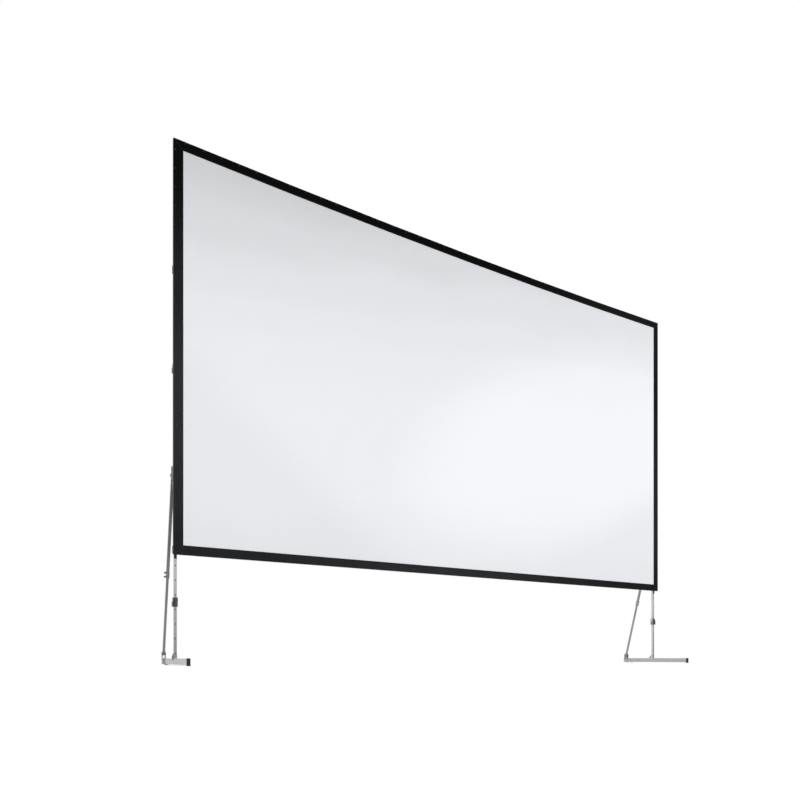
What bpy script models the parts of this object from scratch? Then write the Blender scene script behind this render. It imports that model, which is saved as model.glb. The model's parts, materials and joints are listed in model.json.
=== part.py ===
"""Folding-frame projection screen on two T-legs.

A black folding frame carries a tensioned projection cloth with a black border. Two aluminium
legs stand behind its side rails. Each leg is four tubes joined by latched knuckles, stands on
a hinged foot and is braced by a telescopic strut.

Units are metres, +Z is up and the picture faces -Y. The origin is on the floor, in the middle
of the screen's width and of the feet's length.
"""

import math

import bmesh
import bpy
from mathutils import Matrix, Vector

# Picture and frame
IMAGE_WIDTH = 7.32
IMAGE_HEIGHT = 4.12
BORDER_WIDTH = 0.100
FRAME_BOTTOM = 1.155
TOP_SAG = 0.053                 # the cloth's pull bends the top rail down at its middle
RAIL_FACE = 0.064               # across the rail, in the plane of the picture
RAIL_DEPTH = 0.032
RAIL_WALL = 0.0025
RAIL_EDGE = 0.002               # rounding of the rail's edges
RAIL_PITCH = 1.21               # between the fold joints of the top and bottom rails
SIDE_PITCH = 0.97               # between the fold joints of the side rails
RAIL_PLUG = 0.060               # solid casting in each end of a rail section
RAIL_END_GAP = 0.0010           # between a section's end face and the middle of the joint
RAIL_HOLE_RADIUS = 0.005
RAIL_HOLE_INSET = 0.035         # from the plug to the hole in the rear wall
PLATE_LENGTH = 0.110
PLATE_WIDTH = 0.046
PLATE_THICK = 0.003
CORNER_ARM = 0.150
BOSS_RADIUS = 0.010
BOSS_HEIGHT = 0.0020

# Cloth
BORDER_THICK = 0.0012
CLOTH_THICK = 0.0010
CLOTH_OVERLAP = 0.025           # how far the picture cloth runs behind the border

# Legs
LEG_INSET = 0.031               # from the frame's outer edge to the middle of the leg
LEG_SIZE = 0.032
LEG_WALL = 0.003
LEG_EDGE = 0.002
FRAME_TO_LEG = 0.024            # from the rail's rear face to the leg's front face
LEG_TOP = 4.355
LEG_PLUG = 0.060
LEG_FOOT_GAP = 0.001
HOLE_RADIUS = 0.005
HOLE_PITCH = 0.1533
HOLE_FROM_KNUCKLE = 0.0765
STUB_HOLES = 3

# Knuckles and their latch levers
KNUCKLE_FIRST = 0.663
KNUCKLE_PITCH = 1.225
KNUCKLE_COUNT = 3
KNUCKLE_WIDTH = 0.050
KNUCKLE_DEPTH = 0.052
KNUCKLE_UPPER = 0.050
KNUCKLE_LOWER = 0.048
KNUCKLE_SPLIT = 0.0006
KNUCKLE_EDGE = 0.006
HINGE_BOSS_RADIUS = 0.017
HINGE_BOSS_REACH = 0.004
LEVER_THICK = 0.0035
LEVER_BELOW = 0.046             # how far the lever hangs below the knuckle's split
LEVER_TOP_DROP = 0.012          # from the lever's pivot down to its outer plate
LEVER_PIVOT_UP = 0.018          # pivot above the knuckle's split
LEVER_PIVOT_OUT = 0.012         # pivot out from the leg's middle
LEVER_PIN_RADIUS = 0.0035
LEVER_EYE_RADIUS = 0.010

# Foot
FOOT_FRONT = 0.645
FOOT_REAR = 0.550
FOOT_HEIGHT = 0.064
FOOT_WIDTH = 0.032
FOOT_WALL = 0.003
FOOT_CLEARANCE = 0.010          # under the foot tube
FOOT_PLUG = 0.030
FOOT_PADS = (0.038, 0.131)      # middle of each pad from the rear end
PAD_RADIUS = 0.012
CAP_LENGTH = 0.018
CAP_FACE = 0.003
CAP_WALL = 0.0015

# Hinge between leg and foot
PIVOT_BACK = 0.014              # behind the leg's rear face
PIVOT_UP = 0.014                # above the foot tube
HINGE_PIN_RADIUS = 0.004
EAR_RADIUS = 0.014
EAR_THICK = 0.004
EAR_FRONT = 0.036               # from the pivot to the front of the ears, beside the leg
EAR_REAR = 0.024                # from the pivot to the rear of the bracket
EAR_SIDE = 0.014                # how far the ears reach down the sides of the foot tube
EAR_HEIGHT = 0.052              # top of the ears above the foot tube
BRIDGE_THICK = 0.006
LUG_RADIUS = 0.011
LUG_SIDE_GAP = 0.0008
GUSSET_HEIGHT = 0.110
GUSSET_THICK = 0.012

# Brace
BRACE_TOP_BACK = 0.030          # pivot behind the leg's rear face
BRACE_ABOVE_KNUCKLE = 0.112     # pivot above the split of the second knuckle
BRACE_OUT = 0.015               # the brace stands this far outward of the leg
BRACE_FOOT_INSET = 0.003        # pivot in front of the foot tube's rear end
BRACE_FOOT_UP = 0.050           # pivot above the foot tube
BRACE_TUBE = 0.030
BRACE_TUBE_LENGTH = 1.090       # from the top pivot to the tube's lower end
BRACE_TUBE_HEAD = 0.018         # from the top pivot to the tube's upper end
BRACE_WALL = 0.002
BRACE_PLUG = 0.050
BRACE_ROD = 0.025
BRACE_ROD_TOP = 0.670           # from the top pivot to the rod's upper end
BRACE_PIN_RADIUS = 0.005
COLLAR_LENGTH = 0.074
COLLAR_WALL = 0.002
EYE_RADIUS = 0.016
EYE_WIDTH = 0.020
EYE_BORE = 0.006
CHEEK_RADIUS = 0.028
CHEEK_THICK = 0.0045
CHEEK_GAP = 0.0015              # between the rod and each cheek of the fork
ELBOW_FRONT = 0.060             # from the foot tube's rear end to the front of the fork's casting
ELBOW_SIDE = 0.0015             # how far it stands out from the foot tube and from the fork
BRACKET_CLEARANCE = 0.0015
BRACKET_THICK = 0.004
BRACKET_ABOVE = 0.090
BRACKET_BELOW = 0.050
BRACKET_CHEEK = 0.022
BOLT_HEAD_RADIUS = 0.009
BOLT_HEAD = 0.006
SCREW_FROM_END = 0.016
SCREW_PITCH = 0.044
SCREW_RADIUS = 0.004
SCREW_HEAD_RADIUS = 0.010
SCREW_HEAD_LENGTH = 0.014
SCREW_STANDOFF = 0.005

# Frame clamps
CLAMP_HEIGHT = 0.080
CLAMP_WALL = 0.009
CLAMP_BOTTOM_UP = 0.020         # lower edge of the bottom clamp above the frame's lower edge
TONGUE_DROP = 0.038             # how far the bottom clamp's tongue hangs below the frame
TONGUE_WIDTH = 0.028
CLAMP_TOP_FROM_TIP = 0.205      # middle of the top clamp below the leg's tip
FLANGE_WIDTH = 0.058
FLANGE_THICK = 0.005
KNOB_RADIUS = 0.024
KNOB_LOBES = 5
KNOB_LOBE_DEPTH = 0.003
KNOB_THICK = 0.015
KNOB_STANDOFF = 0.005
KNOB_SCREW_RADIUS = 0.004

GAP = 0.0003                    # between pieces that rest on each other
RUN_GAP = 0.0005                # around pins, screws and tubes that slide
EYE_STEPS = 12                  # sides of a half-round eye
SMOOTH_ANGLE = math.radians(35)

# Worked out from the above
FRAME_WIDTH = IMAGE_WIDTH + 2 * BORDER_WIDTH
FRAME_HEIGHT = IMAGE_HEIGHT + 2 * BORDER_WIDTH
FRAME_TOP = FRAME_BOTTOM + FRAME_HEIGHT
LEG_HALF = LEG_SIZE / 2
LEG_X = FRAME_WIDTH / 2 - LEG_INSET
FOOT_BACK = FOOT_REAR - BRACE_FOOT_INSET + CHEEK_RADIUS
LEG_Y = (FOOT_FRONT - FOOT_BACK) / 2
FOOT_TOP = FOOT_CLEARANCE + FOOT_HEIGHT
FOOT_HALF = FOOT_WIDTH / 2
HINGE_HALF = max(FOOT_HALF, LEG_HALF)     # the hinge's ears run past the wider of foot and leg
RAIL_REAR_Y = LEG_Y - LEG_HALF - FRAME_TO_LEG
RAIL_FRONT_Y = RAIL_REAR_Y - RAIL_DEPTH
BORDER_REAR_Y = RAIL_FRONT_Y - GAP
KNUCKLES = [KNUCKLE_FIRST + i * KNUCKLE_PITCH for i in range(KNUCKLE_COUNT)]
FOOT_PIVOT = Vector((0, LEG_HALF + PIVOT_BACK, FOOT_TOP + PIVOT_UP))
BRACE_TOP = Vector((0, LEG_HALF + BRACE_TOP_BACK, KNUCKLES[1] + BRACE_ABOVE_KNUCKLE))
BRACE_FOOT = Vector((0, FOOT_REAR - BRACE_FOOT_INSET, FOOT_TOP + BRACE_FOOT_UP))
BRACE_LENGTH = (BRACE_FOOT - BRACE_TOP).length
BRACE_LEAN = math.atan2(BRACE_FOOT.y - BRACE_TOP.y, BRACE_TOP.z - BRACE_FOOT.z)
CLAMP_BOTTOM_Z = FRAME_BOTTOM + CLAMP_BOTTOM_UP + CLAMP_HEIGHT / 2
CLAMP_TOP_Z = LEG_TOP - CLAMP_TOP_FROM_TIP


def clear_scene():
    """Remove every object, so the model starts from an empty scene."""
    for old in list(bpy.data.objects):
        bpy.data.objects.remove(old, do_unlink=True)


def make_material(name, colour, roughness, metallic=0.0):
    """A Principled BSDF material in one colour."""
    material = bpy.data.materials.new(name)
    material.use_nodes = True
    shader = material.node_tree.nodes["Principled BSDF"]
    shader.inputs["Base Color"].default_value = (*colour, 1.0)
    shader.inputs["Roughness"].default_value = roughness
    shader.inputs["Metallic"].default_value = metallic
    return material


def mesh_object(bm):
    """Turn a bmesh into an object that lies in the scene."""
    mesh = bpy.data.meshes.new("shape")
    bm.to_mesh(mesh)
    bm.free()
    obj = bpy.data.objects.new("shape", mesh)
    bpy.context.scene.collection.objects.link(obj)
    return obj


def block(x, y, z):
    """A box between the two limits given along each axis."""
    low = Vector((min(x), min(y), min(z)))
    high = Vector((max(x), max(y), max(z)))
    bm = bmesh.new()
    bmesh.ops.create_cube(bm, size=1.0, matrix=Matrix.LocRotScale((low + high) / 2, None, high - low))
    return mesh_object(bm)


def cylinders(radius, spans, segments):
    """One object with a round bar for each pair of ends."""
    bm = bmesh.new()
    for span in spans:
        start = Vector(span[0])
        end = Vector(span[1])
        turn = Vector((0, 0, 1)).rotation_difference(end - start)
        bmesh.ops.create_cone(
            bm, cap_ends=True, segments=segments, radius1=radius, radius2=radius,
            depth=(end - start).length, matrix=Matrix.LocRotScale((start + end) / 2, turn, None))
    return mesh_object(bm)


def cylinder(radius, start, end, segments=18):
    """A round bar from start to end."""
    return cylinders(radius, [(start, end)], segments)


def slab(outline, start, thickness):
    """A flat solid: an outline of points, moved by start and thickened by the vector given."""
    bm = bmesh.new()
    face = bm.faces.new([bm.verts.new(Vector(point) + Vector(start)) for point in outline])
    grown = bmesh.ops.extrude_face_region(bm, geom=[face])
    moved = [item for item in grown["geom"] if isinstance(item, bmesh.types.BMVert)]
    bmesh.ops.translate(bm, verts=moved, vec=thickness)
    bmesh.ops.recalc_face_normals(bm, faces=bm.faces)
    return mesh_object(bm)


def sheet(points, y, thickness):
    """A flat solid in the plane of the picture, with its outline as (x, z) points."""
    return slab([(x, 0, z) for x, z in points], (0, y, 0), (0, thickness, 0))


def eye_plate(x, thickness, middle, radius, low):
    """An upright plate across X, from x, with a round top about middle (y, z) and its foot at low."""
    turns = [math.pi * i / EYE_STEPS for i in range(EYE_STEPS + 1)]
    y, z = middle
    outline = [(x, y + radius * math.cos(turn), z + radius * math.sin(turn)) for turn in turns]
    outline += [(x, y - radius, low), (x, y + radius, low)]
    return slab(outline, (0, 0, 0), (thickness, 0, 0))


def apply_modifiers(obj):
    """Replace the object's mesh with its evaluated mesh."""
    depsgraph = bpy.context.evaluated_depsgraph_get()
    mesh = bpy.data.meshes.new_from_object(obj.evaluated_get(depsgraph))
    obj.modifiers.clear()
    obj.data = mesh


def combine(obj, tools, operation):
    """Join each tool to the object, or cut it away, and remove the tools."""
    for tool in tools:
        modifier = obj.modifiers.new("combine", "BOOLEAN")
        modifier.operation = operation
        modifier.object = tool
        apply_modifiers(obj)
        bpy.data.objects.remove(tool, do_unlink=True)
    return obj


def fuse(obj, *tools):
    """Join the tools to the object."""
    return combine(obj, tools, "UNION")


def cut(obj, *tools):
    """Cut the tools out of the object."""
    return combine(obj, tools, "DIFFERENCE")


def soften(obj, width, segments=2):
    """Round the object's sharp edges."""
    modifier = obj.modifiers.new("soften", "BEVEL")
    modifier.width = width
    modifier.segments = segments
    modifier.limit_method = "ANGLE"
    apply_modifiers(obj)
    return obj


def place(obj, location, lean=0.0):
    """Put the object at its location, leaned about the X axis."""
    obj.location = location
    obj.rotation_euler = (lean, 0, 0)
    return obj


class Assembly:
    """The model's collection, its finishes and the empties that stand for the moving bodies."""

    def __init__(self):
        self.collection = bpy.data.collections.new("projection_screen")
        bpy.context.scene.collection.children.link(self.collection)
        self.black_rail = make_material("black_anodised", (0.020, 0.021, 0.023), 0.42, 0.3)
        self.aluminium = make_material("brushed_aluminium", (0.56, 0.56, 0.56), 0.38, 0.9)
        self.foot_metal = make_material("pale_aluminium", (0.60, 0.58, 0.56), 0.42, 0.8)
        self.brace_metal = make_material("grey_aluminium", (0.30, 0.30, 0.30), 0.45, 0.8)
        self.black_metal = make_material("black_casting", (0.030, 0.031, 0.033), 0.50, 0.2)
        self.black_plastic = make_material("black_plastic", (0.018, 0.018, 0.020), 0.55)
        self.picture = make_material("projection_cloth", (0.80, 0.82, 0.85), 0.75)
        self.border = make_material("border_webbing", (0.022, 0.023, 0.026), 0.80)

    def axis(self, name, location, parent=None, lean=0.0):
        """An empty on a body's joint axis, at a world location, for its pieces to hang on."""
        empty = bpy.data.objects.new(name, None)
        empty.empty_display_size = 0.1
        self.collection.objects.link(empty)
        place(empty, location, lean)
        self.attach(empty, parent)
        return empty

    def attach(self, obj, parent):
        """Parent the object to an empty and leave it where it stands."""
        bpy.context.view_layer.update()
        if parent is not None:
            obj.parent = parent
            obj.matrix_parent_inverse = parent.matrix_world.inverted()
            bpy.context.view_layer.update()

    def piece(self, name, obj, material, body=None):
        """Name a finished solid, give it its material and hang it on its body."""
        obj.name = name
        obj.data.name = name
        obj.data.materials.clear()
        obj.data.materials.append(material)
        obj.data.shade_smooth()
        obj.data.set_sharp_from_angle(angle=SMOOTH_ANGLE)
        for holder in list(obj.users_collection):
            holder.objects.unlink(obj)
        self.collection.objects.link(obj)
        self.attach(obj, body)
        return obj


def sag_at(x):
    """How far the top rail hangs below its ends at this distance from its middle."""
    share = x / FRAME_WIDTH + 0.5
    return TOP_SAG * 4 * share * (1 - share)


def joints_along(reach, pitch, count):
    """Places of a rail's two ends and its fold joints, counted from its middle."""
    inner = [(i - (count - 1) / 2) * pitch for i in range(count)]
    return [-reach] + inner + [reach]


def top_line(inset):
    """The top edge as (x, z) points from left to right, moved inward by the inset."""
    reach = FRAME_WIDTH / 2
    line = [(x, FRAME_TOP - sag_at(x) - inset) for x in joints_along(reach, RAIL_PITCH, 5)]
    slope = (line[1][1] - line[0][1]) / (line[1][0] - line[0][0])
    line[0] = (inset - reach, line[0][1] + slope * inset)
    line[-1] = (reach - inset, line[-1][1] + slope * inset)
    return line


def picture_outline(inset):
    """The outline of the frame, moved inward by the inset, above the frame's bottom edge."""
    half = FRAME_WIDTH / 2 - inset
    points = top_line(inset) + [(half, FRAME_BOTTOM + inset), (-half, FRAME_BOTTOM + inset)]
    return [(x, z - FRAME_BOTTOM) for x, z in points]


def rail_section(outer, inner):
    """A hollow rail section between two edges, each a pair of (x, z) points.

    outer is the edge at the outside of the frame and inner the edge beside the picture. The
    section's origin is at the start of its outer edge, and its front face is at y = 0.
    """
    origin = Vector(outer[0])
    outer = [Vector(point) - origin for point in outer]
    inner = [Vector(point) - origin for point in inner]
    run = (outer[1] - outer[0]).normalized()
    across = (inner[0] - run * run.dot(inner[0])).normalized()
    trim = run * RAIL_END_GAP
    corners = [outer[0] + trim, outer[1] - trim, inner[1] - trim, inner[0] + trim]
    rail = soften(sheet(corners, 0, RAIL_DEPTH), RAIL_EDGE, 1)
    start = max(run.dot(outer[0]), run.dot(inner[0])) + RAIL_PLUG
    end = min(run.dot(outer[1]), run.dot(inner[1])) - RAIL_PLUG
    near = across * RAIL_WALL
    far = across * (RAIL_FACE - RAIL_WALL)
    hollow = [run * start + near, run * end + near, run * end + far, run * start + far]
    cut(rail, sheet(hollow, RAIL_WALL, RAIL_DEPTH - 2 * RAIL_WALL))
    for along in (start + RAIL_HOLE_INSET, end - RAIL_HOLE_INSET):
        x, z = run * along + across * RAIL_FACE / 2
        inside = (x, RAIL_DEPTH - 2 * RAIL_WALL, z)
        cut(rail, cylinder(RAIL_HOLE_RADIUS, inside, (x, RAIL_DEPTH + RAIL_WALL, z), 8))
    return rail


def rail_plate(points, foot_points, bosses):
    """A hinge or corner plate on the rear of the rails.

    points outline the plate, foot_points the part of it that is cast to its own section, and
    bosses are the middles of its rivet heads, all as (x, z).
    """
    seat = RAIL_DEPTH + GAP
    plate = sheet(points, seat, PLATE_THICK)
    fuse(plate, sheet(foot_points, RAIL_DEPTH - GAP, 2 * GAP + PLATE_THICK / 2))
    for x, z in bosses:
        inside = (x, seat + PLATE_THICK / 2, z)
        fuse(plate, cylinder(BOSS_RADIUS, inside, (x, seat + PLATE_THICK + BOSS_HEIGHT, z), 10))
    return plate


def fold_plate(joint, is_level):
    """The plate behind a fold joint, carried by the section that ends there."""
    half = PLATE_LENGTH / 2
    across = PLATE_WIDTH / 2
    foot_end = -RAIL_EDGE - RAIL_END_GAP

    def at(along, sideways):
        step = (along, sideways) if is_level else (sideways, along)
        return joint[0] + step[0], joint[1] + step[1]

    plate = [at(-half, -across), at(half, -across), at(half, across), at(-half, across)]
    foot = [at(-half, -across), at(foot_end, -across), at(foot_end, across), at(-half, across)]
    return rail_plate(plate, foot, [at(-half / 2, 0), at(half / 2, 0)])


def corner_plate(corner, inward, toward):
    """The L plate behind a corner, carried by the side rail.

    corner is the frame's outer corner, inward the X direction to the picture and toward the
    Z direction along the side rail.
    """
    near = (RAIL_FACE - PLATE_WIDTH) / 2
    far = near + PLATE_WIDTH

    def at(x, z):
        return corner[0] + inward * x, corner[1] + toward * z

    plate = [at(near, near), at(CORNER_ARM, near), at(CORNER_ARM, far), at(far, far),
             at(far, CORNER_ARM), at(near, CORNER_ARM)]
    foot_start = RAIL_FACE + 2 * RAIL_EDGE
    foot = [at(near, foot_start), at(far, foot_start), at(far, CORNER_ARM), at(near, CORNER_ARM)]
    return rail_plate(plate, foot, [at(CORNER_ARM * 0.8, RAIL_FACE / 2)])


def build_frame(assembly):
    """The frame's twenty rail sections."""
    half = FRAME_WIDTH / 2
    level = joints_along(half, RAIL_PITCH, 5)
    bottom_outer = [(x, FRAME_BOTTOM) for x in level]
    bottom_inner = [(x, FRAME_BOTTOM + RAIL_FACE) for x in level]
    bottom_inner[0] = (RAIL_FACE - half, bottom_inner[0][1])
    bottom_inner[-1] = (half - RAIL_FACE, bottom_inner[-1][1])
    top_inner = top_line(RAIL_FACE)
    edges = (("top_rail", top_line(0), top_inner), ("bottom_rail", bottom_outer, bottom_inner))
    for name, outer, inner in edges:
        for i in range(len(outer) - 1):
            section = rail_section(outer[i:i + 2], inner[i:i + 2])
            if i < len(outer) - 2:
                middle = (Vector(outer[i + 1]) + Vector(inner[i + 1])) / 2 - Vector(outer[i])
                fuse(section, fold_plate(middle, True))
            place(section, (outer[i][0], RAIL_FRONT_Y, outer[i][1]))
            assembly.piece(f"{name}_{i + 1}", section, assembly.black_rail)

    middle_z = FRAME_BOTTOM + FRAME_HEIGHT / 2
    heights = [middle_z + step for step in joints_along(FRAME_HEIGHT / 2, SIDE_PITCH, 3)]
    for name, side in (("left", -1), ("right", 1)):
        outer = [Vector((side * half, z)) for z in heights]
        inner = [Vector((side * (half - RAIL_FACE), z)) for z in heights]
        inner[0].y += RAIL_FACE
        inner[-1].y = top_inner[0][1]
        for i in range(len(outer) - 1):
            section = rail_section(outer[i:i + 2], inner[i:i + 2])
            length = outer[i + 1] - outer[i]
            if i == 0:
                fuse(section, corner_plate((0, 0), -side, 1))
            if i < len(outer) - 2:
                fuse(section, fold_plate((-side * RAIL_FACE / 2, length.y), False))
            else:
                fuse(section, corner_plate(length, -side, -1))
            place(section, (outer[i].x, RAIL_FRONT_Y, outer[i].y))
            assembly.piece(f"{name}_rail_{i + 1}", section, assembly.black_rail)


def build_cloth(assembly):
    """The picture cloth and the black border sewn round it."""
    border = sheet(picture_outline(0), -BORDER_THICK, BORDER_THICK)
    cut(border, sheet(picture_outline(BORDER_WIDTH), -2 * BORDER_THICK, 3 * BORDER_THICK))
    place(border, (0, BORDER_REAR_Y, FRAME_BOTTOM))
    assembly.piece("border_webbing", border, assembly.border)

    cloth = sheet(picture_outline(BORDER_WIDTH - CLOTH_OVERLAP), GAP, CLOTH_THICK)
    place(cloth, (0, BORDER_REAR_Y, FRAME_BOTTOM))
    assembly.piece("projection_cloth", cloth, assembly.picture)


def square_tube(low, high):
    """An upright leg tube from low to high, solid at its two ends."""
    half = LEG_SIZE / 2
    tube = soften(block((-half, half), (-half, half), (low, high)), LEG_EDGE, 1)
    inner = half - LEG_WALL
    return cut(tube, block((-inner, inner), (-inner, inner), (low + LEG_PLUG, high - LEG_PLUG)))


def knuckle_block(low, high):
    """The casting round the end of a leg tube."""
    wide = KNUCKLE_WIDTH / 2
    deep = KNUCKLE_DEPTH / 2
    return soften(block((-wide, wide), (-deep, deep), (low, high)), KNUCKLE_EDGE)


def knuckle_top(outward):
    """The upper half of a knuckle, with the lever's pins and the hinge boss, split at z = 0."""
    casting = knuckle_block(KNUCKLE_SPLIT / 2, KNUCKLE_UPPER)
    x = outward * LEVER_PIVOT_OUT
    reach = KNUCKLE_DEPTH / 2 + RUN_GAP + LEVER_THICK
    pin = cylinder(LEVER_PIN_RADIUS, (x, -reach, LEVER_PIVOT_UP), (x, reach, LEVER_PIVOT_UP), 12)
    inner_face = -outward * KNUCKLE_WIDTH / 2
    boss_end = inner_face - outward * HINGE_BOSS_REACH
    height = KNUCKLE_UPPER / 2
    boss_start = inner_face + outward * KNUCKLE_EDGE
    boss = cylinder(HINGE_BOSS_RADIUS, (boss_start, 0, height), (boss_end, 0, height))
    return fuse(casting, pin, boss)


def leg_section(low, high, holes, outward, has_knuckle_below, has_knuckle_above):
    """One tube of a leg with its halves of the knuckles, from low to high."""
    tube_low = low + LEG_EDGE if has_knuckle_below else low
    tube_high = high - LEG_EDGE if has_knuckle_above else high
    tube = square_tube(tube_low, tube_high)
    cut(tube, cylinders(HOLE_RADIUS, [((0, -LEG_SIZE, z), (0, 0, z)) for z in holes], 8))
    if has_knuckle_below:
        fuse(tube, knuckle_top(outward))
    if has_knuckle_above:
        fuse(tube, knuckle_block(high + KNUCKLE_SPLIT / 2 - KNUCKLE_LOWER, high))
    return tube


def section_holes(length):
    """The heights of the adjustment holes that fit into a leg section of this length."""
    room = length - HOLE_FROM_KNUCKLE - KNUCKLE_LOWER
    return [HOLE_FROM_KNUCKLE + k * HOLE_PITCH for k in range(int(room / HOLE_PITCH) + 1)]


def base_lug():
    """The lug and gusset behind the leg's base, bored for the hinge pin."""
    side = HINGE_HALF - LUG_SIDE_GAP
    y = FOOT_PIVOT.y
    z = FOOT_PIVOT.z
    lug = cylinder(LUG_RADIUS, (-side, y, z), (side, y, z))
    in_wall = LEG_HALF - LEG_WALL / 2
    fuse(lug, block((-side, side), (in_wall, y), (z - LUG_RADIUS, z + LUG_RADIUS)))
    gusset = [(0, in_wall, z), (0, y + LUG_RADIUS / 2, z), (0, in_wall, z + GUSSET_HEIGHT)]
    fuse(lug, slab(gusset, (-GUSSET_THICK / 2, 0, 0), (GUSSET_THICK, 0, 0)))
    return cut(lug, cylinder(HINGE_PIN_RADIUS + RUN_GAP, (-FOOT_WIDTH, y, z), (FOOT_WIDTH, y, z)))


def latch_lever(outward):
    """A latch lever that hangs from its pivot at the origin and wraps the lower casting."""
    inner_y = KNUCKLE_DEPTH / 2 + RUN_GAP
    outer_y = inner_y + LEVER_THICK
    plate_in = KNUCKLE_WIDTH / 2 - LEVER_PIVOT_OUT + RUN_GAP
    plate_out = plate_in + LEVER_THICK
    bottom = -(LEVER_PIVOT_UP + LEVER_BELOW)
    top = -LEVER_TOP_DROP
    eye = LEVER_EYE_RADIUS
    lever = block((outward * plate_in, outward * plate_out), (-outer_y, outer_y), (bottom, top))
    rounded = [math.pi * i / EYE_STEPS for i in range(EYE_STEPS + 1)]
    outline = [(eye * math.cos(turn), eye * math.sin(turn)) for turn in rounded]
    in_plate = plate_in + LEVER_THICK / 2
    outline += [(-eye, bottom), (in_plate, bottom), (in_plate, top), (eye, top)]
    outline = [(outward * x, z) for x, z in outline]
    bore = LEVER_PIN_RADIUS + RUN_GAP
    for side in (-1, 1):
        cheek = sheet(outline, side * inner_y, side * LEVER_THICK)
        cut(cheek, cylinder(bore, (0, 0, 0), (0, side * 2 * outer_y, 0), 12))
        fuse(lever, cheek)
    return lever


def foot_tube(outward):
    """The foot tube with its two rear pads and the fork for the brace, about the leg's middle."""
    half = FOOT_HALF
    front = -FOOT_FRONT + CAP_FACE + GAP
    tube = soften(block((-half, half), (front, FOOT_REAR), (FOOT_CLEARANCE, FOOT_TOP)), LEG_EDGE, 1)
    inner = half - FOOT_WALL
    hollow_z = (FOOT_CLEARANCE + FOOT_WALL, FOOT_TOP - FOOT_WALL)
    cut(tube, block((-inner, inner), (front - FOOT_PLUG, FOOT_REAR - FOOT_PLUG), hollow_z))
    for inset in FOOT_PADS:
        y = FOOT_REAR - inset
        fuse(tube, cylinder(PAD_RADIUS, (0, y, 0), (0, y, FOOT_CLEARANCE + FOOT_WALL / 2)))

    y = BRACE_FOOT.y
    z = BRACE_FOOT.z
    reach = BRACE_ROD / 2 + CHEEK_GAP
    elbow_x = (-outward * (half + ELBOW_SIDE), outward * (BRACE_OUT + reach + CHEEK_THICK + ELBOW_SIDE))
    elbow_z = (FOOT_CLEARANCE - ELBOW_SIDE, FOOT_TOP + ELBOW_SIDE)
    fork = soften(block(elbow_x, (FOOT_REAR - ELBOW_FRONT, FOOT_BACK), elbow_z), LEG_EDGE, 1)
    for side in (-1, 1):
        inside = outward * (BRACE_OUT + side * reach)
        outside = inside + outward * side * CHEEK_THICK
        cheek = eye_plate(inside, outside - inside, (y, z), CHEEK_RADIUS, FOOT_TOP - EAR_SIDE)
        head_start = (inside + outward * side * CHEEK_THICK / 2, y, z)
        head = cylinder(BOLT_HEAD_RADIUS, head_start, (outside + outward * side * BOLT_HEAD, y, z), 6)
        fuse(fork, fuse(cheek, head))
    return fuse(tube, fork)


def foot_cap():
    """The cap over the foot tube's front end, which also stands on the floor."""
    half = FOOT_HALF + GAP
    wall = half + CAP_WALL
    cap = block((-wall, wall), (-FOOT_FRONT, CAP_LENGTH - FOOT_FRONT), (0, FOOT_TOP + GAP + CAP_WALL))
    soften(cap, CAP_WALL / 2, 1)
    pocket_y = (CAP_FACE - FOOT_FRONT, 2 * CAP_LENGTH - FOOT_FRONT)
    return cut(cap, block((-half, half), pocket_y, (FOOT_CLEARANCE - GAP, FOOT_TOP + GAP)))


def hinge_bracket():
    """The bracket on top of the foot tube, with an ear on each side and the hinge pin."""
    half = HINGE_HALF + GAP
    outer = half + EAR_THICK
    y = FOOT_PIVOT.y
    z = FOOT_PIVOT.z
    low = FOOT_TOP - EAR_SIDE
    high = FOOT_TOP + EAR_HEIGHT
    bracket = cylinder(HINGE_PIN_RADIUS, (-outer, y, z), (outer, y, z))
    seat = FOOT_TOP + GAP
    along = (y + LUG_RADIUS + 2 * RUN_GAP, y + EAR_REAR)
    fuse(bracket, block((-outer, outer), along, (seat, seat + BRIDGE_THICK)))
    outline = [
        (y - EAR_FRONT, low), (y + EAR_REAR, low), (y + EAR_REAR, z),
        (y + EAR_RADIUS, z + EAR_RADIUS), (y - EAR_RADIUS, high), (y - EAR_FRONT, high)]
    for side in (-1, 1):
        points = [(side * half, along, height) for along, height in outline]
        ear = slab(points, (0, 0, 0), (side * EAR_THICK, 0, 0))
        head_start = (side * (outer - EAR_THICK / 2), y, z)
        head = cylinder(BOLT_HEAD_RADIUS, head_start, (side * (outer + BOLT_HEAD), y, z), 6)
        fuse(bracket, ear, head)
    return bracket


def brace_bracket(outward):
    """The bracket behind the leg that carries the brace, with its pivot at the origin."""
    inner = BRACE_TUBE / 2 + BRACKET_CLEARANCE
    outer = inner + BRACKET_THICK
    seat = GAP - BRACE_TOP_BACK
    plate = (seat, seat + BRACKET_THICK)
    leg_x = -outward * BRACE_OUT
    bracket = block((leg_x - outward * LEG_HALF, outward * outer), plate, (-BRACKET_BELOW, BRACKET_ABOVE))
    for side in (-1, 1):
        x = (side * inner, side * outer)
        cheek = block(x, (seat + BRACKET_THICK / 2, 0), (-BRACKET_CHEEK, BRACKET_CHEEK))
        eye = cylinder(BRACKET_CHEEK, (x[0], 0, 0), (x[1], 0, 0))
        head = cylinder(BOLT_HEAD_RADIUS, (side * (outer - BRACKET_THICK / 2), 0, 0),
                        (side * (outer + BOLT_HEAD), 0, 0), 6)
        fuse(bracket, cheek, eye, head)
    for z in (-BRACKET_BELOW * 0.75, BRACKET_ABOVE * 0.75):
        start = (leg_x, seat + BRACKET_THICK / 2, z)
        fuse(bracket, cylinder(BOLT_HEAD_RADIUS, start, (leg_x, plate[1] + BOLT_HEAD / 2, z), 6))
    return fuse(bracket, cylinder(BRACE_PIN_RADIUS, (-outer, 0, 0), (outer, 0, 0)))


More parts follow.
